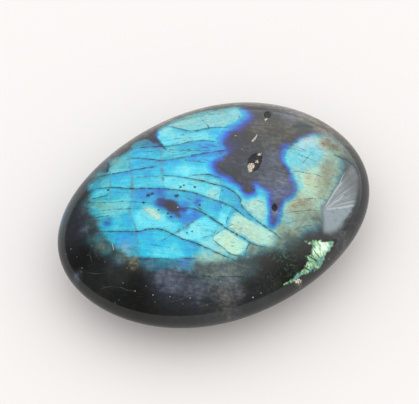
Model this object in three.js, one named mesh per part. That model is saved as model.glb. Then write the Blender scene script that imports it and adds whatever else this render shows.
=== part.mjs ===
// A polished labradorite palm stone, one solid piece. In plan it is a leaning egg-shaped
// oval, in section a lens: a crown above the girdle and a belly below it. The belly is
// ground to a small flat, which the stone rests on.
// Millimetres, +Z up. The origin is on the resting plane under the middle of the stone,
// and +X runs along its length.

import * as THREE from "three";
import { mergeVertices } from "three/addons/utils/BufferGeometryUtils.js";

// Driving dimensions
const LENGTH = 65;
const WIDTH = 48.6;
const CROWN = 10.4; // girdle up to the top of the dome
const BELLY = 10.4; // girdle down to where the lower dome would close
const FOOT_CUT = 0.7; // ground off the bottom of the belly to make the flat

// Character of the oval, as shares of its half width
const EGG = 0.022; // the +X end is the fuller one
const SKEW = 0.042; // the oval leans, so its two long sides are not alike

// Fineness of the faceted surface
const SIDES = 96; // round the stone
const RINGS = 28; // from the flat to the top

const STONE_COLOUR = 0x3d4a4c;
const POLISH_ROUGHNESS = 0.12;

// Half of the section on a girdle of radius 1: out along the flat, then up an ellipse.
function sectionProfile() {
  const footLatitude = -Math.asin((BELLY - FOOT_CUT) / BELLY);
  const points = [new THREE.Vector2(0, 0)];
  for (let ring = 0; ring < RINGS; ring++) {
    const latitude = THREE.MathUtils.lerp(footLatitude, Math.PI / 2, ring / RINGS);
    const rise = latitude > 0 ? CROWN : BELLY;
    const height = BELLY - FOOT_CUT + rise * Math.sin(latitude);
    points.push(new THREE.Vector2(Math.cos(latitude), ring === 0 ? 0 : height));
  }
  points.push(new THREE.Vector2(0, BELLY - FOOT_CUT + CROWN));
  return points;
}

// Pulls the round blank out to the stone's oval, ring by ring.
function stretchToOval(geometry) {
  const position = geometry.getAttribute("position");
  for (let i = 0; i < position.count; i++) {
    const x = position.getX(i);
    const y = position.getY(i);
    const angle = Math.atan2(y, x);
    const swell = 1 + EGG * Math.cos(angle) + SKEW * Math.sin(2 * angle);
    position.setXY(i, x, y * swell);
  }
}

// Sizes the oval to its real length and width, centred over the origin.
function sizeAndCentre(geometry) {
  geometry.computeBoundingBox();
  const box = geometry.boundingBox;
  const size = box.getSize(new THREE.Vector3());
  const middle = box.getCenter(new THREE.Vector3());
  geometry.translate(-middle.x, -middle.y, 0);
  geometry.scale(LENGTH / size.x, WIDTH / size.y, 1);
}

function palmStoneGeometry() {
  const turned = new THREE.LatheGeometry(sectionProfile(), SIDES);
  turned.rotateX(Math.PI / 2);
  turned.deleteAttribute("normal");
  turned.deleteAttribute("uv");
  const geometry = mergeVertices(turned);
  stretchToOval(geometry);
  sizeAndCentre(geometry);
  geometry.computeVertexNormals();
  return geometry;
}

const polishedLabradorite = new THREE.MeshStandardMaterial({
  color: STONE_COLOUR,
  roughness: POLISH_ROUGHNESS,
  metalness: 0,
});

const stone = new THREE.Mesh(palmStoneGeometry(), polishedLabradorite);
stone.name = "palm_stone";

const part = new THREE.Group();
part.add(stone);

export default part;
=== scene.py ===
import math

import bpy
import numpy as np
from mathutils import Matrix, Vector, noise
from mathutils.bvhtree import BVHTree


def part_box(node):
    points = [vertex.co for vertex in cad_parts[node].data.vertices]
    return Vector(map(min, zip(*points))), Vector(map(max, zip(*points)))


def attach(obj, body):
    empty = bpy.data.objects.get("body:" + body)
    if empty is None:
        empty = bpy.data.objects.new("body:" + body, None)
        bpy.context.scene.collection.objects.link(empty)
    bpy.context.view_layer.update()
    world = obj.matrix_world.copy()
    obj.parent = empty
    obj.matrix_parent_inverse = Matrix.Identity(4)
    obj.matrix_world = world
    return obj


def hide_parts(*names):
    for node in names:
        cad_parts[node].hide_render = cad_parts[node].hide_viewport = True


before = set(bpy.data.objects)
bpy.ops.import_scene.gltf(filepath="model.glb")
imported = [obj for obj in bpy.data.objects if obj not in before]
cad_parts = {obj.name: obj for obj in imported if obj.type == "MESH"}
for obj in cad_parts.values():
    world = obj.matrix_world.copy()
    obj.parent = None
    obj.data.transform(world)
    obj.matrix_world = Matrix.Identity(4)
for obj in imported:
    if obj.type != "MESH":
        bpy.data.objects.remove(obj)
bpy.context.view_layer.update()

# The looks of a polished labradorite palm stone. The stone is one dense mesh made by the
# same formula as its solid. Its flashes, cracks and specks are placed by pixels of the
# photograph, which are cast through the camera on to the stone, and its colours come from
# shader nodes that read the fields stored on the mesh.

MM = 0.001
TINY = 1e-9

# The photograph's frame, and where its camera stood
PHOTO_WIDTH, PHOTO_HEIGHT = 419, 404
FOCAL_PIXELS = 2700
CAMERA_AZIMUTH = math.radians(-24.5)
CAMERA_ELEVATION = math.radians(55)
CAMERA_DISTANCE = 540 * MM
SENSOR_WIDTH = 36
CLIP_NEAR, CLIP_FAR = 0.01, 20
STONE_MIDDLE_PIXEL = (214.1, 214.5)
STONE_MIDDLE_HEIGHT = 9.3 * MM

# The stone's shape, as in its solid
EGG = 0.022
SKEW = 0.042
CROWN_SHARE = 10.4 / 20.1
BELLY_SHARE = 10.4 / 20.1
FOOT_ROUNDING = 0.05 * MM
FOOT_BLEND_HEIGHT = 1 * MM

# Fineness of the mesh and of the curves that it is made from
GRID_CELLS = 200
ARC_STEPS = 500
RIM_STEPS = 1440

# How far the cracks lean as they go down through the stone, sideways for each mm of depth
CRACK_LEAN = (0.35, -0.9)

# Keeps the wandering edges the same in every run
NOISE_SEED = 3

# How the edges of the markings wander: size of the waves and depth, in mm
WANDER = (1.6, 0.16)
RAGGED_WANDERS = [(3.0, 0.4), (0.9, 0.2)]
ROUGH_WANDERS = [(4.5, 0.55), (1.1, 0.2)]
FRAY = (2.4, 0.9)


# Camera

def camera_axes():
    """The camera's right, up and back directions."""
    level = math.cos(CAMERA_ELEVATION)
    back = Vector((
        math.sin(CAMERA_AZIMUTH) * level,
        -math.cos(CAMERA_AZIMUTH) * level,
        math.sin(CAMERA_ELEVATION),
    ))
    right = Vector((0, 0, 1)).cross(back).normalized()
    return right, back.cross(right), back


def add_camera():
    """Stands the camera so that the stone lands where it is in the photograph."""
    right, up, back = camera_axes()
    metres_per_pixel = CAMERA_DISTANCE / FOCAL_PIXELS
    across = (STONE_MIDDLE_PIXEL[0] - PHOTO_WIDTH / 2) * metres_per_pixel
    down = (STONE_MIDDLE_PIXEL[1] - PHOTO_HEIGHT / 2) * metres_per_pixel
    target = Vector((0, 0, STONE_MIDDLE_HEIGHT)) - right * across + up * down
    data = bpy.data.cameras.new("photo_camera")
    data.sensor_width = SENSOR_WIDTH
    data.lens = SENSOR_WIDTH * FOCAL_PIXELS / PHOTO_WIDTH
    data.clip_start = CLIP_NEAR
    data.clip_end = CLIP_FAR
    camera = bpy.data.objects.new("photo_camera", data)
    turn = Matrix((right, up, back)).transposed().to_4x4()
    camera.matrix_world = Matrix.Translation(target + back * CAMERA_DISTANCE) @ turn
    bpy.context.scene.collection.objects.link(camera)
    bpy.context.scene.camera = camera
    return camera


# Shape of the stone

def wrap_grid_on_disc(cells):
    """A square grid wrapped on to the unit disc: each point's radius and angle."""
    line = np.linspace(-1, 1, cells + 1)
    u, v = np.meshgrid(line, line)
    u_leads = np.abs(u) > np.abs(v)
    radius = np.where(u_leads, u, v)
    safe = np.where(radius == 0, 1, radius)
    angle = np.where(u_leads, math.pi / 4 * v / safe, math.pi / 2 - math.pi / 4 * u / safe)
    angle = np.where(radius < 0, angle + math.pi, angle)
    return np.abs(radius).ravel(), angle.ravel()


def even_latitude(radius, rise, reach):
    """The latitude on an elliptic dome at an even share of the way from its top."""
    latitude = np.linspace(0, math.pi / 2, ARC_STEPS)
    steps = np.hypot(np.diff(reach * np.cos(latitude)), np.diff(rise * np.sin(latitude)))
    arc = np.concatenate([[0], np.cumsum(steps)])
    return np.interp((1 - radius) * arc[-1], arc, latitude)


def oval(disc_radius, angle, low, high):
    """Pulls points of the unit disc out to the stone's oval, filling the box."""
    def pull(radius, turn):
        swell = 1 + EGG * np.cos(turn) + SKEW * np.sin(2 * turn)
        return radius * np.cos(turn), radius * np.sin(turn) * swell

    rim_x, rim_y = pull(1, np.linspace(0, 2 * math.pi, RIM_STEPS))
    x, y = pull(disc_radius, angle)
    x = np.interp(x, [rim_x.min(), rim_x.max()], [low.x, high.x])
    y = np.interp(y, [rim_y.min(), rim_y.max()], [low.y, high.y])
    return x, y


def stone_points(low, high):
    """Points of the crown's and the belly's grids, sharing one girdle."""
    height = high.z - low.z
    crown = CROWN_SHARE * height
    belly = BELLY_SHARE * height
    girdle = high.z - crown
    reach = (high.x - low.x + high.y - low.y) / 4
    radius, angle = wrap_grid_on_disc(GRID_CELLS)
    latitude = even_latitude(radius, crown, reach)
    x, y = oval(np.cos(latitude), angle, low, high)
    top = np.column_stack([x, y, girdle + crown * np.sin(latitude)])
    drop = girdle - belly * np.sin(latitude) - low.z
    rounded = (drop + np.sqrt(drop**2 + FOOT_ROUNDING**2)) / 2
    bottom = np.column_stack([x, y, low.z + np.where(drop > FOOT_BLEND_HEIGHT, drop, rounded)])
    return top, bottom, radius > 1 - TINY


def stone_faces(rim):
    """Quads of the two grids, with the belly's rim points taken from the crown."""
    side = GRID_CELLS + 1
    count = side * side
    index = np.arange(count).reshape(side, side)
    lower = np.where(rim, np.arange(count), np.cumsum(~rim) - 1 + count).reshape(side, side)

    def quads(numbers, flip):
        corners = [numbers[:-1, :-1], numbers[:-1, 1:], numbers[1:, 1:], numbers[1:, :-1]]
        if flip:
            corners.reverse()
        return np.stack(corners, axis=-1).reshape(-1, 4)

    return np.concatenate([quads(index, False), quads(lower, True)])


def add_stone():
    """The dense mesh of the stone, in the frame of its solid."""
    low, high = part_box("palm_stone")
    top, bottom, rim = stone_points(low, high)
    points = np.concatenate([top, bottom[~rim]])
    faces = stone_faces(rim)
    mesh = bpy.data.meshes.new("polished_stone")
    mesh.from_pydata(points.tolist(), [], faces.tolist())
    mesh.validate()
    mesh.shade_smooth()
    stone = bpy.data.objects.new("polished_stone", mesh)
    bpy.context.scene.collection.objects.link(stone)
    return stone, points


# Markings placed by the photograph's pixels

class Chart:
    """Turns pixels of the photograph into places on the stone, seen from above in mm."""

    def __init__(self, camera, stone, points):
        polygons = [tuple(face.vertices) for face in stone.data.polygons]
        self.tree = BVHTree.FromPolygons([Vector(p) for p in points], polygons)
        self.eye = camera.matrix_world.translation
        self.axes = camera_axes()
        self.girdle = points[points[:, 0].argmax(), 2]
        self.points = points / MM
        self.plan = self.points[:, :2] + self.wobble(*WANDER)
        self.ragged = self.plan + sum(self.wobble(*wander) for wander in RAGGED_WANDERS)
        self.rough = self.plan + sum(self.wobble(*wander) for wander in ROUGH_WANDERS)
        self.fray = self.wobble(*FRAY)[:, 0]
        depth = np.maximum(self.girdle / MM - self.points[:, 2], 0)
        self.sunk = self.plan + depth[:, None] * np.array(CRACK_LEAN)

    def wobble(self, size, depth):
        """A sideways shift of each point that wanders over the stone, in mm."""
        shifts = [noise.noise_vector(Vector(p) / size) for p in self.points]
        return depth * np.array(shifts)[:, :2]

    def spot(self, pixel):
        """The point of the stone under a pixel, in mm."""
        right, up, back = self.axes
        across = (pixel[0] - PHOTO_WIDTH / 2) / FOCAL_PIXELS
        down = (pixel[1] - PHOTO_HEIGHT / 2) / FOCAL_PIXELS
        ray = (right * across - up * down - back).normalized()
        hit = self.tree.ray_cast(self.eye, ray)[0]
        if hit is None:
            hit = self.eye + ray * ((self.girdle - self.eye.z) / ray.z)
        return hit / MM

    def place(self, pixel):
        """The same point, seen from above."""
        return self.spot(pixel).xy

    def curve(self, pixels, closed=False, steps=6):
        """A smooth line through the pixels' places."""
        spots = [Vector(self.place(p)) for p in pixels]
        if closed:
            spots = [spots[-1]] + spots + spots[:2]
        else:
            spots = [2 * spots[0] - spots[1]] + spots + [2 * spots[-1] - spots[-2]]
        line = []
        for a, b, c, d in zip(spots, spots[1:], spots[2:], spots[3:]):
            for step in range(steps):
                t = step / steps
                bend = 2 * a - 5 * b + 4 * c - d
                line.append((2 * b + (c - a) * t + bend * t**2 + (3 * b - a - 3 * c + d) * t**3) / 2)
        line.append(spots[-2])
        return np.array(line)


def nearest_on_line(line, plan):
    """For each point: signed distance to the line, and the share of the way along it."""
    best = np.full(len(plan), np.inf)
    side = np.ones(len(plan))
    along = np.zeros(len(plan))
    lengths = np.hypot(*np.diff(line, axis=0).T)
    starts = np.concatenate([[0], np.cumsum(lengths)])
    for a, b, length, start in zip(line, line[1:], lengths, starts):
        step = (b - a) / length
        from_a = plan - a
        run = np.clip(from_a @ step, 0, length)
        gap = np.hypot(*(from_a - run[:, None] * step).T)
        nearer = gap < best
        cross = step[0] * from_a[:, 1] - step[1] * from_a[:, 0]
        best = np.where(nearer, gap, best)
        side = np.where(nearer, np.where(cross < 0, -1, 1), side)
        along = np.where(nearer, (start + run) / starts[-1], along)
    return best * side, along


def is_inside(outline, plan):
    """Whether each point lies inside a closed outline."""
    inside = np.zeros(len(plan), bool)
    for a, b in zip(outline, np.roll(outline, -1, axis=0)):
        crosses = (a[1] > plan[:, 1]) != (b[1] > plan[:, 1])
        rise = b[1] - a[1] if b[1] != a[1] else TINY
        inside ^= crosses & (plan[:, 0] < a[0] + (plan[:, 1] - a[1]) / rise * (b[0] - a[0]))
    return inside


def smooth_step(low, high, value):
    """0 up to the low value, 1 from the high one, and a smooth rise between them."""
    t = np.clip((value - low) / (high - low), 0, 1)
    return t * t * (3 - 2 * t)


# Tints of the flashes, from the violet fringe to the bronze sheen
VIOLET, DEEP_BLUE, AZURE, CYAN, PALE_CYAN, AQUA, MINT, STRAW, BRONZE = (
    0.0, 0.12, 0.28, 0.45, 0.58, 0.70, 0.82, 0.92, 1.0)

# Edges of the zones in mm: along a crack, faded, and lost
CRISP, SOFT, HAZY = 0.7, 1.9, 3.6

# Zones of the flashes, painted in this order: tint, glow, edge, and an outline in pixels
ZONES = {
    "main": (CYAN, 0.78, SOFT, [
        (90, 206), (93, 191), (105, 174), (124, 155), (146, 139), (170, 125), (200, 113), (226, 109),
        (244, 109), (262, 120), (290, 150), (290, 200), (285, 225), (279, 238), (266, 246), (247, 256),
        (222, 259), (200, 259), (176, 258), (153, 257), (134, 255), (117, 248), (104, 234), (95, 219)]),
    "shelf_teal": (0.42, 0.22, SOFT, [(140, 260), (176, 260), (178, 268), (160, 269), (143, 265)]),
    "shelf_violet": (0.3, 0.5, SOFT, [(176, 260), (194, 260.5), (192, 268), (187, 271), (179, 268)]),
    "shelf_mint": (0.8, 0.55, SOFT, [(197, 254), (230, 257), (234, 261), (215, 263), (197, 262)]),
    "shelf_grey": (0.8, 0.08, HAZY, [(196, 262), (246, 259), (252, 270), (236, 279), (200, 280)]),
    "right": (0.84, 0.60, HAZY, [
        (283, 160), (291, 148), (301, 138), (318, 136), (330, 150), (342, 157), (340, 168), (336, 186),
        (326, 205), (318, 222), (300, 232), (284, 238), (270, 232), (280, 204), (292, 195), (293, 178)]),
    "top_strip": (0.70, 0.58, SOFT, [
        (166, 125), (186, 116), (210, 111), (234, 109), (236, 112), (210, 115), (186, 119)]),
    "top_second": (0.68, 0.78, CRISP, [
        (167, 126), (186, 119.8), (210, 115.6), (232, 112), (243, 115), (234, 126.5), (211, 127),
        (192, 130.4), (181, 128)]),
    "top_third": (0.55, 0.9, CRISP, [
        (157, 134), (171, 128.5), (192, 131.8), (211, 128.6), (230, 128), (222, 140.5), (205, 140),
        (190, 141.5), (173, 145), (163, 145.5)]),
    "top_fourth": (0.44, 0.84, CRISP, [
        (163, 147), (174, 146.4), (195, 142), (217, 142.3), (226, 149), (212, 151.3), (192, 154.8),
        (170, 159)]),
    "cap": (0.46, 0.45, CRISP, [
        (131, 148.5), (134, 143.5), (143, 140), (151, 142), (156, 145.8), (142, 146.8)]),
    "cap_below": (0.42, 0.92, CRISP, [
        (131, 151), (142, 148.4), (158, 147.5), (161, 152.5), (161, 159), (148, 158.8), (133, 157.3)]),
    "left_top": (0.52, 0.66, SOFT, [
        (106, 173), (112, 165), (119, 158.5), (128, 152), (129.5, 158), (129, 169.8), (118, 172.5)]),
    "middle_top": (0.43, 0.90, CRISP, [
        (131, 159.5), (144, 160.2), (160, 160.6), (161.5, 174), (150, 175.5), (132, 175), (131, 170.5)]),
    "bright_back": (0.44, 0.96, CRISP, [
        (163, 161), (178, 160), (192, 156.6), (206, 153.8), (218, 155), (212, 164), (216, 171.5),
        (206, 173.8), (192, 174.2), (178, 175.6), (163.5, 174.5)]),
    "left_end": (0.50, 0.62, SOFT, [
        (91, 189), (95, 182), (104, 178), (109.6, 175.8), (109.8, 187.6), (100, 187.8)]),
    "left_square": (0.42, 0.92, CRISP, [
        (111, 175.6), (121, 173.6), (130.5, 171.8), (131.4, 188), (111, 188)]),
    "middle_row": (0.47, 0.88, CRISP, [
        (132.6, 176), (148, 176.5), (162.6, 176.8), (163.4, 188), (132.8, 188)]),
    "window_row": (0.55, 0.78, CRISP, [
        (186, 176.8), (193, 175.6), (208, 175), (220, 178), (220.5, 185), (208, 182), (196, 179.2)]),
    "pale_row": (0.56, 0.92, CRISP, [
        (164.5, 177), (186, 178.4), (209, 183.8), (220, 186.2), (219.6, 200.8), (211, 198), (192, 191.2),
        (164.5, 188.2)]),
    "window_corner": (0.42, 0.78, CRISP, [
        (222, 188), (231, 190.5), (239.5, 199), (240, 205.5), (249, 214.5), (251, 218.5), (241, 213),
        (231, 205.2), (222, 201.8)]),
    "left_below": (0.48, 0.84, CRISP, [
        (91, 197), (102, 190), (131, 189.4), (131.2, 200.8), (112, 201), (95, 202)]),
    "eye_left": (0.36, 0.85, SOFT, [
        (132.6, 189.5), (152, 189.6), (154, 199.8), (142, 200.3), (132.8, 200.3)]),
    "eye_right": (0.42, 0.86, CRISP, [
        (186, 192.4), (200, 196.4), (212, 200.2), (220.5, 203), (220.6, 208.5), (216, 220), (207, 214.5),
        (199, 208), (192, 200.3)]),
    "left_teal": (0.62, 0.74, SOFT, [
        (98, 204), (112, 202.4), (130.8, 202), (130, 212), (118, 216), (104, 218)]),
    "left_azure": (0.4, 0.86, HAZY, [
        (108, 218), (119, 215.5), (130.4, 213.5), (134, 224), (136.5, 230.6), (118, 230.8),
        (108, 230.6)]),
    "under_eye": (0.5, 0.95, SOFT, [
        (132, 213.5), (146, 214), (160, 219.5), (172, 218.5), (184, 226), (173, 233), (164, 229.6),
        (151, 228.5), (138, 230.4), (134.5, 222)]),
    "blue_under_eye": (0.30, 0.82, CRISP, [
        (178, 217), (192, 211), (200, 213.5), (200.5, 216.5), (187, 225.5)]),
    "pale_middle": (0.6, 0.98, CRISP, [
        (188, 226.5), (200.5, 217.5), (210.5, 218.5), (217.5, 224), (214.4, 231.5), (203, 237),
        (190, 240), (176, 235.5)]),
    "pale_front": (0.66, 0.94, SOFT, [
        (199, 239.5), (211.5, 239.8), (221, 247.5), (229.5, 254.4), (221, 253.8), (206, 247)]),
    "front_left": (0.4, 0.84, SOFT, [
        (110, 233), (120, 232.6), (137, 232.6), (139, 244), (138.6, 253), (126, 251), (116, 244)]),
    "front_middle": (0.46, 0.96, CRISP, [
        (138.4, 232.4), (151, 230.4), (164, 231.6), (178, 238), (190, 242.4), (193, 250), (186, 257),
        (172, 257.8), (155, 257.2), (140.4, 254.4)]),
    "front_right": (0.80, 0.76, SOFT, [
        (201, 247), (208, 249.5), (222, 256.6), (236, 259), (216, 261), (202, 260)]),
    "cross_pane": (0.54, 0.95, CRISP, [
        (222, 204), (231, 207), (230, 213.5), (226.5, 220.5), (224.5, 226), (217.5, 221.6), (221, 209)]),
    "tongue_left": (0.74, 0.8, SOFT, [
        (243, 206), (247, 199), (256, 197), (266, 201), (266.5, 214), (263, 222.5), (255, 217.8)]),
    "mint_upper": (0.83, 0.84, 1.1, [
        (230, 227), (234, 214.5), (242, 215.5), (253, 222), (262, 226.5), (271, 233), (275.5, 240),
        (273, 246), (264, 247), (255, 244), (242, 236.5)]),
    "mint_lower": (0.83, 0.96, 1.1, [
        (213.5, 238.5), (220, 232), (226, 229.5), (236, 236), (247, 243.5), (245, 249.5), (241.5, 255),
        (232, 254.5), (222, 247)]),
    "mint_dim": (0.9, 0.24, SOFT, [
        (249, 245), (262, 248), (272, 248), (284, 243), (292, 236), (282, 234), (272, 250), (260, 254),
        (247, 257)]),
    "right_cyan": (0.6, 0.8, SOFT, [
        (283, 161), (288, 152), (299, 143), (312, 140), (322, 146), (323, 158), (315, 167), (298, 169)]),
    "right_white": (0.72, 0.86, SOFT, [
        (294, 147), (298, 140), (308, 136), (319, 138), (316, 146), (302, 149)]),
    "right_mint": (0.68, 0.76, SOFT, [
        (297, 168), (306, 160), (316, 163), (318, 172), (308, 172), (300, 175)]),
    "right_straw": (0.90, 0.86, HAZY, [
        (300, 174), (308, 171), (320, 174), (322, 184), (316, 195), (306, 198), (301, 192), (301, 182)]),
    "right_grey": (0.92, 0.4, HAZY, [
        (322, 162), (332, 160), (338, 170), (333, 186), (325, 196), (323, 188)]),
    "right_olive": (0.96, 0.62, SOFT, [
        (290, 204), (300, 200.5), (314, 200), (316, 207), (306, 211), (294, 211)]),
    "right_low": (0.86, 0.34, HAZY, [
        (279, 224), (288, 213), (300, 213), (311, 211), (316, 214), (312, 226), (300, 230), (286, 237),
        (277, 231)]),
    "notch": (0.05, 0.0, CRISP, [
        (143, 132), (150, 129), (157, 128.5), (156.5, 135.5), (160, 142), (166, 149.5), (157, 145),
        (150.5, 141), (144.5, 137)]),
    "eye": (0.04, 0.0, 1.2, [
        (155.5, 199.5), (161.5, 198.3), (167, 201.5), (174, 201), (179, 204), (183, 207.5), (179, 211),
        (179.5, 216.5), (173.5, 214.5), (167.5, 211), (161.5, 206), (157, 203)]),
}

# Panes with crisp edges, painted over the strokes
PANES = ["mint_upper", "mint_lower"]
PANE_SHARE = 0.4

# Soft strokes over the zones: place, reach in pixels, tint, glow
STROKES = [
    ((164, 131), 6, 0.68, 0.98), ((186, 138), 7, 0.58, 0.80), ((216, 132), 7, 0.40, 0.98),
    ((114, 163), 6, 0.62, 0.55), ((172, 150), 8, 0.56, 0.80), ((207, 150), 9, 0.28, 0.90),
    ((99, 176), 6, 0.58, 0.36), ((186, 170), 9, 0.64, 1.0), ((205, 168), 6, 0.50, 0.98),
    ((200, 178), 6, 0.64, 0.80), ((213, 192), 7, 0.75, 0.90), ((228, 190), 7, 0.42, 0.90),
    ((98, 206), 6, 0.66, 0.50), ((107, 223), 5, 0.20, 0.50), ((163, 218), 5, 0.58, 1.0),
    ((140, 218), 6, 0.60, 0.98), ((184, 229), 5, 0.44, 0.80), ((150, 238), 9, 0.40, 0.95),
    ((168, 251), 9, 0.54, 1.0), ((187, 251), 4, 0.38, 0.92), ((134, 250), 6, 0.44, 0.62),
    ((215, 243), 7, 0.72, 0.98), ((88, 203), 6, 0.60, 0.12), ((93, 223), 7, 0.62, 0.05),
    ((101, 244), 7, 0.80, 0.12), ((340, 155), 5, 0.78, 0.44), ((348, 161), 6, 0.80, 0.10),
    ((299, 178), 5, 0.64, 0.88), ((300, 186), 4, 0.58, 0.88), ((303, 144), 6, 0.70, 0.95),
    ((290, 241), 8, 0.80, 0.06), ((278, 244), 7, 0.84, 0.22), ((296, 231), 6, 0.92, 0.34),
    ((317, 220), 6, 0.90, 0.16), ((219, 231), 5, 0.62, 0.86), ((222, 250), 5, 0.80, 0.90),
    ((192, 160), 7, 0.36, 0.95), ((157, 151), 5, 0.42, 0.70), ((92, 185), 4, 0.54, 0.66),
    ((236, 112), 5, 0.72, 0.85), ((290, 221), 7, 0.70, 0.6), ((160, 192), 7, 0.24, 0.74),
    ((196, 201), 4, 0.16, 0.60), ((185, 203), 5, 0.28, 0.72), ((190, 213), 4, 0.32, 0.92),
    ((183, 210), 4, 0.14, 0.50), ((188, 212.5), 3, 0.42, 0.98), ((172, 216), 5, 0.30, 0.66),
    ((160, 203), 6, 0.12, 0.32), ((170, 206), 5, 0.04, 0.0), ((149, 134), 5, 0.05, 0.0),
    ((147, 143), 5, 0.40, 0.42), ((157, 145), 4, 0.40, 0.42), ((157, 134.5), 2.2, 0.10, 0.7),
    ((221, 152), 5, 0.13, 0.66), ((92, 240), 5, 0.64, 0.10), ((107, 251), 5, 0.72, 0.18),
    ((119, 257), 6, 0.76, 0.16), ((100, 237), 5, 0.58, 0.20),
]

# The dark window in the flashes, which has a blue fringe
DARK_WINDOW = [
    (249, 106), (252, 116.5), (244, 126.5), (231, 132.5), (226, 140), (230, 148), (227, 157),
    (217.5, 163), (219, 169.5), (226, 176), (234.5, 181.5), (241, 187), (244.5, 192), (250, 191.5),
    (253.5, 188), (253.5, 183.5), (259, 183.5), (266, 187.5), (271.5, 193.5), (272, 202), (272, 212),
    (272.3, 219), (273.5, 223.5), (276, 221), (278.3, 214), (279.5, 206), (282, 200), (287, 197),
    (290, 192), (291.5, 187), (290, 181), (288, 175), (286, 168), (282, 163), (279, 156), (282, 148),
    (293, 138), (306, 133.5), (319, 133), (342, 142), (330, 118), (290, 98), (252, 94),
]

# Blue glimmers in the dark window: place, reach in pixels, tint, glow
GLIMMERS = [
    ((278, 196), 10, 0.16, 0.12), ((285, 192), 7, 0.10, 0.16), ((275, 215), 6, 0.10, 0.18),
    ((250, 121), 7, 0.05, 0.24), ((231, 145), 7, 0.05, 0.30),
]

# Rusty and green strokes that lie over the fringe: place, reach in pixels, tint, glow
RUST = [
    ((327, 140), 8, BRONZE, 0.34), ((334, 147), 8, BRONZE, 0.22), ((322, 145), 5, 0.98, 0.6),
    ((337, 153), 5, 0.78, 0.30), ((346, 158), 5, 0.74, 0.06),
]

# Milky haze over the flashes, which near the right end is also a painted highlight: place,
# reach in pixels, strength
MILK_AND_HIGHLIGHT = [
    ((307, 140), 8, 0.75), ((299, 147), 7, 0.45), ((318, 150), 6, 0.5), ((303, 160), 7, 0.25),
    ((124, 249), 7, 0.4),
]

# A cream patch beside the eye: its outline, tint and glow, share, and edge in mm
CREAM_PATCH = [
    (145, 209.5), (149, 207.5), (156, 209.5), (159.5, 216), (157.5, 220), (152.5, 218.5), (147.5, 214.5),
]
CREAM_LOOK = (0.91, 0.88)
CREAM_SHARE = 0.9
CREAM_EDGE = 1.4

# The grey feather near one end: its outline, its plain pane, the point that its streaks
# spread from, and its edge in mm
FEATHER = [
    (323, 209), (336, 189), (346, 171), (353, 165), (358, 174), (359, 186), (358, 198), (354, 208),
    (343, 225), (340, 229), (333, 231.5), (323.5, 231), (323, 220),
]
FEATHER_PANE = [(324, 212), (336, 211), (352, 207), (343, 225), (333, 231), (324, 230.5)]
FEATHER_APEX = (322, 210)
FEATHER_EDGE = 1.2

# The bright spark at the edge: its outline, its bright places with reach in mm and strength,
# its bluish places with reach in mm, the lean of its ribs in degrees, and its edge in mm
SPARK = [
    (304, 241.2), (309, 242), (313.2, 244), (315, 241.8), (321.5, 241.2), (326, 240.8), (332, 240.8),
    (334, 245), (332.4, 250), (326.5, 255.8), (321, 260.4), (316.5, 265.6), (309, 271.6), (302.6, 275.8),
    (298, 279.4), (289, 283.8), (283.5, 286), (289, 280.5), (294, 276.5), (297.4, 272), (301, 271.3),
    (304.3, 267.8), (308.7, 261.9), (305.2, 257.4), (306, 255), (310.4, 253), (313.9, 247), (307, 243.8),
]
SPARK_LOBES = [((323.5, 247), 2.6, 0.34), ((316.5, 253), 1.7, 0.20), ((307.5, 265), 1.6, 0.16)]
SPARK_SHADOWS = [
    ((332, 249), 1.8), ((327, 256), 1.5), ((320, 262), 1.3), ((312, 270), 1.2), ((297, 276), 1.4),
]
SPARK_LEAN = -48
SPARK_EDGE = 1.1

# Yellow-green washes and mossy flecks: place, reach in pixels, strength
GOLD_WASHES = [
    ((104, 206), 12, 0.7), ((190, 116), 14, 0.35), ((222, 111), 12, 0.4), ((312, 184), 14, 0.5),
    ((300, 206), 10, 0.6), ((222, 256), 9, 0.5), ((232, 246), 12, 0.35), ((340, 156), 10, 0.5),
    ((124, 252), 10, 0.6), ((114, 162), 6, 0.7),
]
MOSS = [((284, 258), 16, 1.0), ((264, 278), 12, 0.8), ((300, 246), 9, 0.4), ((322, 222), 6, 0.7)]

# Open pits, pale crystals and dull chips: outlines in pixels, edges and depth in mm
PITS = [
    [(249, 158), (256, 153.5), (262, 155), (260.5, 164), (256, 170.5), (248, 170)],
    [(264.5, 113), (268.5, 111.5), (271, 115), (267, 118)],
    [(272.5, 206), (276, 204.5), (277.5, 209), (275, 212)],
]
CRYSTALS = [
    [(248, 165), (252.5, 163.5), (255.5, 166), (253, 169), (249.5, 172.5)],
    [(255.5, 160.8), (258.5, 160.4), (258, 162.6), (255.8, 162.6)],
    [(258, 153.4), (260.6, 153), (260.4, 155), (258, 155.4)],
    [(265, 118.4), (266.8, 118.4), (266.4, 120.6), (264.8, 120.2)],
    [(295.5, 280), (299, 279), (301.5, 280.5), (299, 282.5), (296, 282)],
]
CHIPS = [
    [(130, 259), (135, 256), (138, 260), (138, 267), (134, 271), (130, 266)],
    [(296.5, 280), (299.5, 279.5), (300, 283), (297, 282.5)],
]
PIT_EDGE = 0.6
CRYSTAL_EDGE = 0.6
CHIP_EDGE = 1.0
PIT_DEPTH = 0.3

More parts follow.
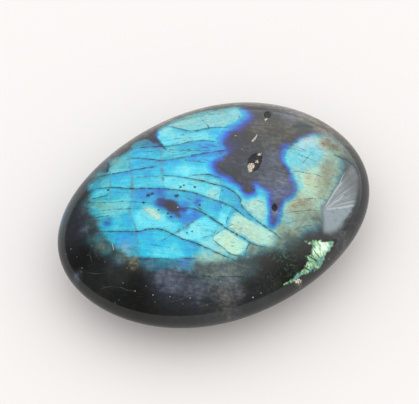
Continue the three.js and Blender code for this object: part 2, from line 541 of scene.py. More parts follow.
# Specks: place and radius in mm
BLACK_SPECKS = [
    ((180.5, 187), 0.26), ((183.7, 185), 0.22), ((194.6, 187), 0.28), ((176.5, 196), 0.38),
    ((148.4, 195.4), 0.4), ((152, 193.7), 0.3), ((108, 190), 0.28), ((199.5, 205), 0.24),
    ((192, 231.6), 0.18), ((187, 233), 0.18), ((239.4, 117), 0.2), ((143.5, 202.5), 0.24),
    ((168, 213.5), 0.22), ((177.6, 216.6), 0.22), ((171, 216.6), 0.2), ((158.5, 210), 0.2),
    ((254, 190), 0.2), ((242, 183), 0.18),
]
WHITE_SPECKS = [
    ((235.6, 135.7), 0.14), ((242, 149), 0.08), ((153, 295), 0.10), ((170, 296.6), 0.08),
    ((190, 298), 0.09), ((135, 291), 0.09), ((115, 303), 0.06), ((220.5, 281.6), 0.08),
    ((253, 297.4), 0.13), ((261, 293), 0.08), ((248, 257), 0.10), ((82, 268), 0.07), ((71, 249), 0.08),
    ((66, 254), 0.06), ((176, 286), 0.05), ((207, 305), 0.05), ((105, 262), 0.05), ((123, 283), 0.06),
    ((81, 272), 0.05), ((77, 257), 0.05), ((146, 286), 0.06), ((155, 302), 0.05), ((160, 291), 0.05),
    ((183, 304), 0.05), ((209, 290), 0.06), ((177.8, 207.3), 0.12), ((177.4, 216.5), 0.08),
    ((165.2, 217.3), 0.07), ((329, 259), 0.09), ((92, 246), 0.06), ((88, 255), 0.05), ((127, 268), 0.06),
    ((119, 300), 0.05),
]

# Lightness and warmth of the dark stone, and soft shades over it: place, reach in pixels,
# lightness, warmth
BODY_SHADE = (0.22, 0.0)
SHADES = [
    ((240, 165), 40, 0.40, -0.6), ((232, 173), 7, 0.26, 0.0), ((282, 180), 17, 0.66, -0.8),
    ((278, 194), 10, 0.70, -1.0), ((264, 186), 8, 0.60, -0.9), ((246, 187), 7, 0.36, -0.2),
    ((275, 212), 9, 0.62, -1.0), ((262, 128), 16, 0.44, 0.5), ((286, 130), 12, 0.44, 0.7),
    ((292, 116), 14, 0.60, -0.6), ((325, 132), 16, 0.56, 0.7), ((328, 141), 9, 0.52, 1.0),
    ((306, 126), 8, 0.18, 0.2), ((272, 142), 12, 0.50, 0.1), ((273, 159), 13, 0.60, -0.5),
    ((350, 155), 12, 0.34, 0.6), ((100, 165), 20, 0.44, -0.5), ((140, 300), 50, 0.03, 0.2),
    ((80, 262), 24, 0.03, 0.0), ((82, 228), 13, 0.28, -0.6), ((126, 262), 12, 0.28, 0.5),
    ((114, 262), 8, 0.36, -0.4), ((226, 280), 22, 0.56, 0.0), ((172, 280), 18, 0.58, -1.0),
    ((196, 288), 14, 0.54, -0.4), ((230, 292), 14, 0.64, 0.0), ((238, 297), 8, 0.56, -0.2),
    ((150, 263), 9, 0.50, -0.6), ((184, 264), 9, 0.62, -1.0), ((128, 251), 8, 0.60, 0.1),
    ((278, 243), 9, 0.52, -0.3), ((285, 262), 19, 0.03, 0.5), ((298, 247), 8, 0.10, 0.5),
    ((250, 300), 16, 0.16, 0.0), ((240, 291), 7, 0.58, 0.0), ((335, 252), 18, 0.34, 0.2),
    ((341, 238), 8, 0.52, 0.0), ((153, 138), 6, 0.10, 0.4), ((77, 277.5), 4, 0.56, -1.0),
    ((100, 247), 6, 0.50, 0.5), ((85, 231), 5, 0.46, -0.8), ((160, 275), 7, 0.56, -1.0),
    ((120, 275), 8, 0.24, 0.0), ((318, 232), 7, 0.30, 0.0), ((292, 241), 7, 0.28, 0.4),
    ((84, 212), 7, 0.44, -1.0),
]

# Cracks and other thin lines: the width in the middle in mm, and places in pixels
DARK_CRACKS = {
    "long_upper": (0.22, [
        (85, 194), (102, 188), (132, 188.6), (161, 188.8), (192, 192), (212, 199), (231, 206), (241, 214),
        (254, 222)]),
    "long_middle": (0.20, [
        (161, 175), (186, 177.5), (210, 183), (231, 189.5), (240.5, 199), (241, 205), (255, 219),
        (269.5, 229.7), (283, 240.6)]),
    "long_lower": (0.22, [
        (179.5, 208.4), (192, 208.4), (210, 217), (226, 228), (242, 237.6), (255, 245), (269, 247.5)]),
    "front_arc": (0.20, [
        (96, 231.5), (120, 231.5), (137, 231.5), (151, 229.3), (164, 230.4), (178, 237), (205, 247),
        (223, 255.6), (239, 262)]),
    "left_upper": (0.16, [(91, 179), (107, 175), (128, 171), (146, 167.6), (157, 166)]),
    "back_first": (0.20, [
        (125, 160), (133, 158), (154, 160), (168, 160), (192, 155.5), (215, 151.7), (227, 150)]),
    "back_second": (0.16, [
        (130, 150), (142, 147.5), (157, 146.6), (173, 145.6), (195, 141), (217, 141.5)]),
    "back_third": (0.15, [(164, 126), (181, 128.7), (192, 131), (211, 127.7), (232, 127)]),
    "left_short": (0.14, [(89, 200), (102, 196.6), (110, 194)]),
    "notch_line": (0.2, [(147, 132), (153, 138), (160, 144), (167, 151)]),
    "rim_line": (0.34, [(107.4, 161.6), (108.5, 167.3), (106.2, 173.6)]),
    "window_edge": (0.16, [(192, 175), (208, 174.5), (221, 178)]),
    "window_dark": (0.2, [(214, 164), (224, 170), (234, 178), (243, 187)]),
    "panel_edge": (0.12, [(212, 239), (221, 246), (231, 254), (245, 257)]),
    "far_smear": (0.8, [(292, 125.5), (299, 127), (306, 126.3), (314, 127.8)]),
    "right_rim": (0.34, [(334, 154.5), (345, 159.5), (352, 164), (357, 169.5), (359, 178)]),
}
FINE_CRACKS = {
    "window_cross": (0.12, [(220.5, 178), (221, 188), (220, 201), (221, 208)]),
    "window_branch": (0.09, [(226, 187.5), (219, 193), (212, 197)]),
    "panel_cross": (0.12, [(231, 210), (228, 218), (225, 226)]),
    "panel_cross_low": (0.10, [(218, 225), (215, 232), (212, 239)]),
    "panel_side": (0.10, [(249.7, 243), (246.7, 248), (245, 256)]),
    "dotted": (0.09, [(240, 221.5), (225, 228.4), (214.5, 234.5), (201, 238.5)]),
    "eye_to_front": (0.09, [(200.5, 215.5), (186, 226), (173, 234), (158, 243)]),
    "eye_branch": (0.14, [(184, 197), (192, 201), (199, 208), (206, 212)]),
    "left_eye": (0.13, [(78, 203.7), (104, 202.6), (122, 201.5), (144, 202.4), (154, 201.4)]),
    "left_low": (0.10, [(95.6, 211), (121.7, 209), (145.7, 208.5)]),
    "left_lowest": (0.12, [(83, 219), (102, 216.7), (114, 214.6)]),
    "left_pair": (0.10, [(131, 170), (144, 168.6), (158, 166.8)]),
    "left_step": (0.10, [(131, 177), (139, 177.6), (147, 177.2)]),
    "back_zeroth": (0.12, [(172, 119.5), (186, 115), (204, 113), (224, 108.5)]),
    "back_fourth": (0.12, [(164, 125), (185, 119), (210, 115), (230, 112)]),
    "back_cross": (0.10, [
        (199.5, 117), (204.6, 122), (208.5, 127.5), (207, 131), (210, 135), (208.5, 139)]),
    "back_fan_a": (0.11, [(158, 144), (168, 149.5), (184, 150), (202, 151.4)]),
    "back_fan_b": (0.10, [(160, 146), (172, 152.4), (190, 149), (206, 147), (224, 146.4)]),
    "back_fan_c": (0.09, [(163, 141.5), (176, 139), (192, 137.6), (206, 136)]),
    "back_fan_d": (0.09, [(196, 144.5), (206, 147.6), (214, 153), (221, 161)]),
    "back_line": (0.10, [(165, 157), (178, 155), (190, 151), (202, 149)]),
    "back_thread_a": (0.07, [(169, 138), (178, 135.6), (192, 132.6), (208, 129.5)]),
    "back_thread_b": (0.07, [(170, 145), (179, 142), (188, 139.6)]),
    "back_thread_c": (0.07, [(167, 154), (181, 154.6), (195, 155)]),
    "back_thread_d": (0.08, [(183, 160), (197, 161.5), (211, 164)]),
    "back_thread_e": (0.08, [(187, 151), (204, 150.6), (223, 152)]),
    "left_thread_a": (0.07, [(138, 167), (147, 165.4), (157, 165)]),
    "left_thread_b": (0.07, [(140, 177), (150, 176), (160, 176.4)]),
    "left_thread_c": (0.08, [(88, 179), (98, 177), (109, 175.6)]),
    "front_thread_a": (0.07, [(148, 244), (162, 246), (178, 250)]),
    "right_thread_a": (0.08, [(303, 184), (314, 186), (324, 190)]),
    "right_thread_b": (0.07, [(296, 206), (306, 204), (318, 205)]),
    "bright_line": (0.10, [(184, 161), (196, 161.3), (204.6, 159.3), (212, 162)]),
    "cap_line": (0.09, [(133, 152.5), (144, 151.4), (158, 152)]),
    "front_shelf": (0.12, [(130, 257), (144, 258.5), (163, 258.8), (189, 258.4), (206, 259)]),
    "front_second": (0.10, [(156, 267), (166, 269), (176, 272), (188, 274)]),
    "front_dark": (0.12, [(199, 275.4), (220, 276.8), (246, 276.4)]),
    "right_line": (0.11, [(291, 171), (305, 172.5), (315, 174), (325, 178)]),
    "right_diagonal": (0.10, [(289, 151), (303, 156), (316, 162), (327, 170)]),
    "right_diagonal_b": (0.09, [(292, 146), (305, 150), (318, 156), (330, 163)]),
    "right_counter": (0.07, [(300, 166), (307, 158), (315, 150)]),
    "right_low": (0.11, [(286, 203), (300, 199.5), (316, 198.5), (330, 199.5)]),
    "right_low_b": (0.09, [(284, 214), (298, 211), (312, 210), (321, 211)]),
    "right_low_c": (0.09, [(281, 226), (294, 221), (308, 219), (319, 217)]),
    "right_low_d": (0.09, [(276, 236), (290, 231), (304, 226), (316, 225)]),
    "rust_line": (0.13, [(318, 139), (325, 145), (333, 148.6), (342, 151)]),
    "feather_edge": (0.26, [(354, 164), (358.5, 174), (359, 186), (357.5, 199), (353, 210), (342, 227)]),
}
PALE_STREAKS = {
    "feather_first": (0.24, [(324.6, 208.7), (333, 195), (342.2, 181.2)]),
    "feather_second": (0.34, [(325, 210), (340, 207.5), (355.5, 205)]),
    "feather_third": (0.20, [(326, 209), (335, 202), (344.5, 195)]),
    "feather_fourth": (0.14, [(325, 208), (336, 190), (345, 172)]),
    "left_fleck": (0.14, [(112, 242), (112.6, 246), (113.4, 251)]),
}
VEINS = {
    "left_cross": (0.26, [
        (130, 147), (129.5, 164), (132, 182), (132, 199), (130, 213), (137, 234), (139, 256)]),
    "far_left_cross": (0.18, [(110, 172), (110.3, 185), (110.6, 204)]),
    "middle_cross": (0.36, [(161, 148), (162, 170), (163.6, 188)]),
    "front_vein": (0.55, [(198, 218), (190, 223.5), (176, 233)]),
    "front_post": (0.18, [(194.8, 247), (194, 258), (190, 266), (190.2, 273)]),
}
SEAMS = {
    "upright": (0.20, [(320, 242.5), (320.4, 249), (321.6, 256)]),
    "first_rib": (0.16, [(308, 256), (313.5, 259), (319, 262.5)]),
    "second_rib": (0.14, [(313, 249), (316, 254), (321, 258.5)]),
    "third_rib": (0.14, [(304, 268.5), (308, 269.5), (313, 271)]),
}
NEEDLES = {
    "window_needle": (0.24, [(251, 142.5), (254.5, 138), (258, 134)]),
    "window_needle_low": (0.14, [(252.5, 143), (254.5, 140), (256, 138)]),
}
SCRATCHES = {
    "front_a": (0.10, [(214, 285), (228, 285.4), (243, 285)]),
    "front_b": (0.09, [(218, 293), (232, 291.5), (247, 290)]),
    "front_c": (0.08, [(170, 302), (186, 298), (200, 292)]),
    "front_d": (0.08, [(196, 308), (212, 303), (230, 296)]),
    "left_arc": (0.09, [(100, 288), (114, 286.5), (128, 290), (137, 292.4)]),
    "left_arc_b": (0.08, [(84, 272), (96, 274), (110, 272)]),
    "left_post": (0.08, [(88, 212), (86, 224), (89, 240)]),
    "left_post_b": (0.08, [(101, 236), (103, 248), (101, 258)]),
    "left_tick": (0.09, [(80, 226), (84, 229), (87, 234)]),
    "left_tick_b": (0.08, [(92, 243), (90, 252), (92, 262)]),
}

CRACK_GROUPS = {
    "dark": DARK_CRACKS,
    "fine": FINE_CRACKS,
    "pale": PALE_STREAKS,
    "needle": NEEDLES,
    "scratch": SCRATCHES,
    "vein": VEINS,
    "seam": SEAMS,
}

# Only these groups run right through the stone
DEEP_GROUPS = ("dark", "fine")

# Cracks run out at their ends: the share of the length that tapers, and the width at the tip
# in mm. Beyond its reach in mm a crack's field holds a large value.
TAPER = 0.22
TIP_WIDTH = 0.006
CRACK_REACH = 3.0
FAR = 60

# Outlines: steps between two points, and the margin in mm that is searched round them
OUTLINE_STEPS = 3
OUTLINE_MARGIN = 0.5

# The window's fringe: tints by the distance from its edge in mm, and where the glow fades
FRINGE_DISTANCE = [-1.0, -0.2, 0.5, 1.1, 1.9, 3.4]
FRINGE_TINT = [0.0, 0.04, 0.13, 0.26, 0.38, 1.0]
WINDOW_EDGE = (-0.9, 0.8)

# Where the fringe is narrower: on the stone's right, and round pixels with a reach in pixels
RIGHT_FRINGE = 1.6
RIGHT_FRINGE_EDGE = 3.0
NARROW_FRINGE = [((232, 131), 6), ((272, 214), 26), ((240, 188), 14), ((258, 188), 12), ((287, 192), 12)]

# The flashes step at each dark crack: reach in mm, and the change of tint and glow by side
STEP_REACH = 1.5
FRONT_STEP = (-0.09, -0.08)
BACK_STEP = (0.05, 0.04)

# The underside: flashes with place and reach in mm, tint and glow, then the plain shade, and
# the depth in mm under the girdle that it comes in over
BELLY_FLASHES = [
    ((-14, 4), 9, AZURE, 0.62), ((-4, -7), 8, CYAN, 0.68), ((3, 3), 6, 0.36, 0.42),
    ((14, 6), 7, MINT, 0.36), ((17, -6), 5, 0.6, 0.32), ((-20, -6), 5, DEEP_BLUE, 0.48),
]
BELLY_SHADE = {"lightness": 0.12, "warmth": 0.5}
BELLY_EDGE = (0.2, 2.2)

# A painted sheen: a paler rim on the far side of the stone, which stands in for the bright
# reflection there. Its direction and how it comes in round the stone, its share at heights in
# mm above the girdle, and its shade
SHEEN_SIDE = (0.42, 0.91)
SHEEN_SIDE_EDGE = (0.2, 0.9)
SHEEN_HEIGHTS = [-4.0, -1.0, 3.2, 4.6, 6.6]
SHEEN_SHARES = [0.0, 0.5, 0.9, 0.8, 0.0]
RIM_SHEEN_SHADE = {"lightness": 0.76, "warmth": 0.3}

# Dull flashes along that rim: bearing and reach in degrees, tint, glow, then their height
# above the girdle and their reach up and down in mm
RIM_FLASHES = [
    (28, 9, STRAW, 0.30), (52, 8, AQUA, 0.34), (72, 7, BRONZE, 0.36), (94, 12, CYAN, 0.46),
    (118, 9, AZURE, 0.50), (140, 8, AQUA, 0.30), (158, 7, DEEP_BLUE, 0.40),
]
RIM_FLASH_HEIGHT = 0.4
RIM_FLASH_REACH = 2.1


# Fields on the stone

def is_near(plan, line, margin):
    """Whether each point lies in the box round a line, with a margin in mm."""
    return np.all((plan > line.min(0) - margin) & (plan < line.max(0) + margin), axis=1)


def near_crack(plan, line, reach):
    """Which points are near a crack, their signed distance to it, and how open it is there."""
    near = is_near(plan, line, reach)
    distance, along = nearest_on_line(line, plan[near])
    return near, distance, np.clip(np.minimum(along, 1 - along) / TAPER, 0, 1)


def crack_field(chart, width, pixels):
    """Signed distance to a crack in half widths, which run out at its two ends."""
    near, distance, opening = near_crack(chart.sunk, chart.curve(pixels), CRACK_REACH)
    half_width = np.maximum(width * np.sqrt(opening), TIP_WIDTH) / 2
    field = np.full(len(chart.sunk), float(FAR))
    field[near] = distance / half_width
    return field


def outside_distance(plan, outline):
    """Distance outside a closed outline in mm, negative inside it."""
    distance = np.abs(nearest_on_line(outline, plan)[0])
    return np.where(is_inside(outline, plan), -distance, distance)


def shape_weight(chart, pixels, softness):
    """1 inside a closed outline and 0 outside it, over a soft edge given in mm."""
    outline = chart.curve(pixels, closed=True, steps=OUTLINE_STEPS)
    plan = chart.rough if softness > CRISP else chart.plan
    near = is_near(plan, outline, softness + OUTLINE_MARGIN)
    signed = outside_distance(plan[near], outline)
    weight = np.zeros(len(plan))
    weight[near] = 1 - smooth_step(-softness / 2, softness / 2, signed)
    return weight


def shapes_weight(chart, outlines, softness):
    """The same for several outlines at once."""
    return np.max([shape_weight(chart, pixels, softness) for pixels in outlines], axis=0)


def stroke_weight(chart, pixel, reach):
    """A round soft stroke, 1 in the middle, whose reach is given in pixels."""
    spot = np.array(chart.place(pixel))
    edge = np.array(chart.place((pixel[0] + reach, pixel[1])))
    return np.exp(-np.sum((chart.rough - spot) ** 2, axis=1) / np.sum((edge - spot) ** 2))


def towards(value, share, target):
    """A value moved a share of the way to a target."""
    return value + share * (target - value)


def blend(values, share, targets):
    """Several values, each moved the same share of the way to its target."""
    return [towards(value, share, target) for value, target in zip(values, targets)]


def blend_strokes(chart, values, strokes, mask=1.0):
    """Paints soft strokes, each with a place, a reach and targets, over starting values."""
    for pixel, reach, *targets in strokes:
        values = blend(values, mask * stroke_weight(chart, pixel, reach), targets)
    return values


def crack_steps(chart):
    """How near each point is to a dark crack, on its front side and on its back side."""
    front = np.zeros(len(chart.plan))
    back = np.zeros(len(chart.plan))
    for _, pixels in DARK_CRACKS.values():
        near, distance, opening = near_crack(chart.plan, chart.curve(pixels), 3 * STEP_REACH)
        share = opening * np.exp(-np.abs(distance) / STEP_REACH)
        front[near] = np.maximum(front[near], np.where(distance < 0, share, 0))
        back[near] = np.maximum(back[near], np.where(distance > 0, share, 0))
    return front, back


def paint_flashes(chart):
    """Tint and glow of the flashes at each point of the stone."""
    flash = [CYAN, 0.0]
    for *look, softness, pixels in ZONES.values():
        flash = blend(flash, shape_weight(chart, pixels, softness), look)
    tint, glow = blend_strokes(chart, flash, STROKES)
    front, back = crack_steps(chart)
    tint = tint + FRONT_STEP[0] * front + BACK_STEP[0] * back
    glow = np.clip(glow * (1 + FRONT_STEP[1] * front + BACK_STEP[1] * back), 0, 1)
    flash = [tint, glow]
    for name in PANES:
        *look, softness, pixels = ZONES[name]
        flash = blend(flash, PANE_SHARE * shape_weight(chart, pixels, softness), look)
    cream = CREAM_SHARE * shape_weight(chart, CREAM_PATCH, CREAM_EDGE)
    tint, glow = blend(flash, cream, CREAM_LOOK)

    right = shape_weight(chart, ZONES["right"][-1], RIGHT_FRINGE_EDGE)
    narrowings = [RIGHT_FRINGE * right] + [stroke_weight(chart, *spot) for spot in NARROW_FRINGE]
    window = outside_distance(chart.ragged, chart.curve(DARK_WINDOW, closed=True))
    window = window * (1 + np.max(narrowings, axis=0))
    tint = np.minimum(tint, np.interp(window, FRINGE_DISTANCE, FRINGE_TINT))
    outside = smooth_step(*WINDOW_EDGE, window + chart.fray)
    flash = blend_strokes(chart, [tint, glow * outside], GLIMMERS, 1 - outside)
    return blend_strokes(chart, flash, RUST)


def paint_underside(chart, depth, fields):
    """A dull flash and a plain dark shade for the belly, which the photograph doesn't show."""
    flash = [AZURE, 0.0]
    for spot, reach, *look in BELLY_FLASHES:
        share = np.exp(-np.sum((chart.rough - np.array(spot)) ** 2, axis=1) / reach**2)
        flash = blend(flash, share, look)
    belly = {"tint": flash[0], "glow": flash[1], **BELLY_SHADE}
    below = smooth_step(*BELLY_EDGE, depth)
    for name in fields:
        fields[name] = towards(fields[name], below, belly.get(name, 0.0))


def paint_rim_sheen(chart, height, fields):
    """A painted sheen, a paler rim on the far side of the stone, with dull flashes in it."""
    x, y = chart.rough.T
    bearing = np.degrees(np.arctan2(y, x))
    outward = chart.rough / np.hypot(x, y)[:, None].clip(TINY)
    # Painted sheen: the rim is made paler towards the far side, as a bright reflection would make it
    far = smooth_step(*SHEEN_SIDE_EDGE, outward @ np.array(SHEEN_SIDE))
    share = far * np.interp(height, SHEEN_HEIGHTS, SHEEN_SHARES)
    for name, shade in RIM_SHEEN_SHADE.items():
        fields[name] = towards(fields[name], share, shade)
    level = np.exp(-((height - RIM_FLASH_HEIGHT) / RIM_FLASH_REACH) ** 2)
    for middle, reach, *look in RIM_FLASHES:
        share = level * np.exp(-((bearing - middle) / reach) ** 2)
        fields["tint"], fields["glow"] = blend((fields["tint"], fields["glow"]), share, look)


def paint_stone(chart, mesh):
    """Works out the fields that the stone's shader reads, and stores them on the mesh."""
    tint, glow = paint_flashes(chart)
    lightness, warmth = blend_strokes(chart, BODY_SHADE, SHADES)
    feather = shape_weight(chart, FEATHER, FEATHER_EDGE)
    fields = {
        "tint": tint,
        "glow": glow * (1 - feather),
        "lightness": lightness,
        "warmth": warmth,
        "feather": feather,
        "feather_pane": shape_weight(chart, FEATHER_PANE, CRISP),
        "spark": shape_weight(chart, SPARK, SPARK_EDGE),
        "pit": shapes_weight(chart, PITS, PIT_EDGE),
        "crystal": shapes_weight(chart, CRYSTALS, CRYSTAL_EDGE),
        "chip": shapes_weight(chart, CHIPS, CHIP_EDGE),
    }
    # The milky field holds a pale haze, and near the right end a painted highlight
    for name, strokes in (("gold", GOLD_WASHES), ("moss", MOSS), ("milk_and_highlight", MILK_AND_HIGHLIGHT)):
        fields[name] = blend_strokes(chart, [0.0], strokes)[0]
    depth = chart.girdle / MM - chart.points[:, 2]
    paint_underside(chart, depth, fields)
    # The painted sheen on the far rim, with dull flashes along it
    paint_rim_sheen(chart, -depth, fields)
    names = {}
    for group, cracks in CRACK_GROUPS.items():
        names[group] = [f"{group}_{name}" for name in cracks]
        for field_name, (width, pixels) in zip(names[group], cracks.values()):
            fields[field_name] = crack_field(chart, width, pixels)
            if group not in DEEP_GROUPS:
                fields[field_name][depth > 0] = FAR
    for name, values in fields.items():
        attribute = mesh.attributes.new(name, "FLOAT", "POINT")
        attribute.data.foreach_set("value", np.asarray(values, np.float32))
    return names, fields["pit"]


def sink_pits(mesh, pit):
    """Sinks the small open pits into the polished face."""
    for vertex, share in zip(mesh.vertices, pit):
        if share > 0:
            vertex.co -= vertex.normal * (share * PIT_DEPTH * MM)
    mesh.update()


# Shader

def linear(red, green, blue):
    """A colour picked on screen, 0 to 255, as the linear colour that shaders use."""
    def channel(value):
        value = value / 255
        return value / 12.92 if value <= 0.04045 else ((value + 0.055) / 1.055) ** 2.4
    return channel(red), channel(green), channel(blue), 1


# Most of a noise's values lie in this range
NOISE_RANGE = (0.3, 0.7)


class Graph:
    """Short ways to add and join shader nodes."""

    def __init__(self, material):
        material.use_nodes = True
        self.tree = material.node_tree
        self.tree.nodes.clear()

    def node(self, kind, inputs=(), **settings):
        made = self.tree.nodes.new(kind)
        for name, value in settings.items():
            setattr(made, name, value)
        for name, value in dict(inputs).items():
            self.join(value, made.inputs[name])
        return made

    def join(self, value, socket):
        if isinstance(value, bpy.types.NodeSocket):
            self.tree.links.new(value, socket)
        else:
            socket.default_value = value

    def field(self, name):
        return self.node("ShaderNodeAttribute", attribute_name=name).outputs["Fac"]

    def math(self, operation, a, b=0.0):
        return self.node("ShaderNodeMath", {0: a, 1: b}, operation=operation).outputs[0]

    def add(self, a, b):
        return self.math("ADD", a, b)

    def subtract(self, a, b):
        return self.math("SUBTRACT", a, b)

    def multiply(self, a, b):
        return self.math("MULTIPLY", a, b)

    def vector_math(self, operation, output, a, b=(0, 0, 0)):
        return self.node("ShaderNodeVectorMath", {0: a, 1: b}, operation=operation).outputs[output]

    def distance(self, a, b):
        return self.vector_math("DISTANCE", "Value", a, b)

    def ramp(self, value, low, high, start=0.0, end=1.0):
        """Turns a range of values smoothly into another range."""
        inputs = {"Value": value, "From Min": low, "From Max": high, "To Min": start, "To Max": end}
        return self.node("ShaderNodeMapRange", inputs, interpolation_type="SMOOTHSTEP").outputs["Result"]

    def spread(self, value, start, end):
        """Turns a noise's usual range into another range."""
        return self.ramp(value, *NOISE_RANGE, start, end)

    def fade(self, value, near, far, strength):
        """Full strength up to the near value, and nothing from the far value on."""
        return self.ramp(value, near, far, strength, 0.0)

    def mix(self, share, a, b, blend="MIX"):
        made = self.node("ShaderNodeMix", data_type="RGBA", blend_type=blend)
        for value, socket in ((share, made.inputs[0]), (a, made.inputs[6]), (b, made.inputs[7])):
            self.join(value, socket)
        return made.outputs[2]

    def colours(self, value, stops):
        made = self.node("ShaderNodeValToRGB", {"Fac": value})
        elements = made.color_ramp.elements
        while len(elements) < len(stops):
            elements.new(0.5)
        for element, (position, colour) in zip(elements, stops):
            element.position = position
            element.color = colour
        return made.outputs["Color"]

    def noise(self, vector, scale, detail=3.0, roughness=0.5):
        inputs = {"Vector": vector, "Scale": scale, "Detail": detail, "Roughness": roughness}
        return self.node("ShaderNodeTexNoise", inputs).outputs["Fac"]


# Colours of the flashes by tint, and of the dark stone by lightness
FLASH_STOPS = [
    (VIOLET, linear(66, 56, 150)),
    (DEEP_BLUE, linear(40, 84, 204)),
    (AZURE, linear(32, 146, 228)),
    (CYAN, linear(42, 196, 226)),
    (PALE_CYAN, linear(106, 222, 236)),
    (AQUA, linear(138, 214, 220)),
    (MINT, linear(182, 232, 212)),
    (STRAW, linear(190, 210, 182)),
    (BRONZE, linear(150, 140, 108)),
]
COOL_STOPS = [
    (0.0, linear(10, 10, 9)),
    (0.35, linear(46, 49, 58)),
    (0.6, linear(84, 91, 106)),
    (1.0, linear(150, 158, 166)),
]
WARM_STOPS = [
    (0.0, linear(11, 11, 8)),
    (0.35, linear(54, 53, 45)),
    (0.6, linear(102, 99, 86)),
    (1.0, linear(164, 160, 146)),
]

# Colours of the spark, the feather and the crystals by the value of a noise
SPARK_STOPS = [
    (0.28, linear(28, 54, 42)),
    (0.42, linear(86, 134, 104)),
    (0.56, linear(142, 186, 146)),
    (0.70, linear(194, 228, 184)),
    (0.86, linear(230, 252, 238)),
]
FEATHER_STOPS = [(0.3, linear(112, 118, 122)), (0.5, linear(138, 148, 152)), (0.7, linear(176, 188, 192))]
CRYSTAL_STOPS = [(0.35, linear(132, 118, 100)), (0.62, linear(226, 214, 194))]

# Single colours
GOLD = linear(252, 240, 206)
# Whitish colour of the milky haze, which near the right end is also a painted highlight
MILKY_HIGHLIGHT_WHITE = linear(186, 202, 214)
MOSS_GREEN = linear(62, 92, 70)
FEATHER_PANE_GREY = linear(144, 160, 168)
FEATHER_END_GREY = linear(92, 95, 93)
STREAK_GREY = linear(186, 194, 194)
SPARK_BLUE = linear(96, 150, 152)
HATCH_TEAL = linear(22, 54, 66)
VEIN_GREY = linear(92, 122, 142)
FINE_CRACK_GREY = linear(36, 52, 58)
CRACK_HALO_BLUE = linear(18, 66, 88)
CRACK_BLACK = linear(14, 30, 38)
SCRATCH_GREY = linear(138, 140, 136)
PIT_BLACK = linear(8, 9, 13)
CHIP_GREY = linear(128, 124, 106)
SPECK_BLACK = linear(8, 12, 20)
SPECK_WHITE = linear(200, 200, 194)

# Faint hatching along the cracks: size in mm, lean in degrees, strength, then its density
HATCHES = [((15, 1.3, 3), -10, 0.36), ((9, 1.6, 3), 14, 0.12)]
HATCH_LEVELS = 7.0

# Streaks in the stone: size in mm and lean in degrees
STREAK_SIZE = (4.5, 0.5, 1.0)
STREAK_LEAN = -8

# Ribs across the spark, in mm, and the number of rays in the feather
RIB_SIZE = (1.4, 0.32, 0.6)
FEATHER_RAYS = 14.0

# Fine relief: the roughness of the pits in metres, the cracks' share of it, and its strength
HOLLOW_DEPTH = 0.15 * MM
GROOVE_SHARE = 0.2
RELIEF_STRENGTH = 0.8


def nearest(graph, sizes):
    """The smallest of several values."""
    result = sizes[0]
    for size in sizes[1:]:
        result = graph.math("MINIMUM", result, size)
    return result


def nearest_crack(graph, names):
    """The smallest of several crack fields, without their signs."""
    return nearest(graph, [graph.math("ABSOLUTE", graph.field(name)) for name in names])


def nearest_speck(graph, place, chart, specks):
    """Distance to the nearest of several specks, in their radii."""
    gaps = [(graph.distance(place, chart.spot(pixel)), radius) for pixel, radius in specks]
    return nearest(graph, [graph.math("DIVIDE", gap, radius) for gap, radius in gaps])


def stretched(graph, place, size, lean):
    """Coordinates for a pattern drawn out along the stone's cracks, whose size is in mm."""
    turn = (0, 0, CAMERA_AZIMUTH + math.radians(lean))
    inputs = {"Vector": place, "Rotation": turn, "Scale": size}
    return graph.node("ShaderNodeMapping", inputs, vector_type="TEXTURE").outputs[0]


class Textures:
    """The noises that the stone's layers share."""

    def __init__(self, graph):
        origin = graph.node("ShaderNodeTexCoord").outputs["Object"]
        scaled = {0: origin, "Scale": 1 / MM}
        self.place = graph.node("ShaderNodeVectorMath", scaled, operation="SCALE").outputs[0]
        self.mottle = graph.noise(self.place, 0.35, 5)
        self.rock = graph.noise(self.place, 1.1, 5, 0.65)
        self.grain = graph.noise(self.place, 4.0, 3)
        self.streaks = graph.noise(stretched(graph, self.place, STREAK_SIZE, STREAK_LEAN), 1.0, 4)
        self.worn = graph.ramp(graph.noise(self.place, 0.9, 3), 0.36, 0.6, 0.25, 1.0)


def flash_layer(graph, textures):
    """Colour of the flashes, and how much of it shows."""
    shift = graph.spread(textures.mottle, -0.05, 0.05)
    ripple = graph.spread(textures.streaks, -0.03, 0.03)
    tint = graph.add(graph.add(graph.field("tint"), shift), ripple)
    glow = graph.field("glow")
    half_lit = graph.multiply(glow, graph.subtract(1.0, glow))
    blotches = graph.add(textures.rock, graph.multiply(textures.streaks, 0.6))
    torn = graph.multiply(graph.subtract(blotches, 0.8), 1.6)
    glow = graph.add(glow, graph.multiply(torn, half_lit))
    glow = graph.multiply(glow, graph.spread(textures.grain, 0.88, 1.06))
    glow = graph.multiply(glow, graph.ramp(textures.rock, 0.3, 0.6, 0.90, 1.02))
    colour = graph.colours(tint, FLASH_STOPS)
    gold = graph.multiply(graph.field("gold"), graph.ramp(textures.rock, 0.35, 0.65, 0.5, 1.0))
    colour = graph.mix(gold, colour, GOLD, "MULTIPLY")
    # Milky haze whitens the flashes; near the right end it is a painted highlight
    milk_and_highlight = graph.multiply(graph.field("milk_and_highlight"), graph.spread(textures.streaks, 0.7, 1.0))
    colour = graph.mix(milk_and_highlight, colour, MILKY_HIGHLIGHT_WHITE)
    return colour, graph.math("MINIMUM", graph.math("MAXIMUM", glow, 0.0), 1.0)


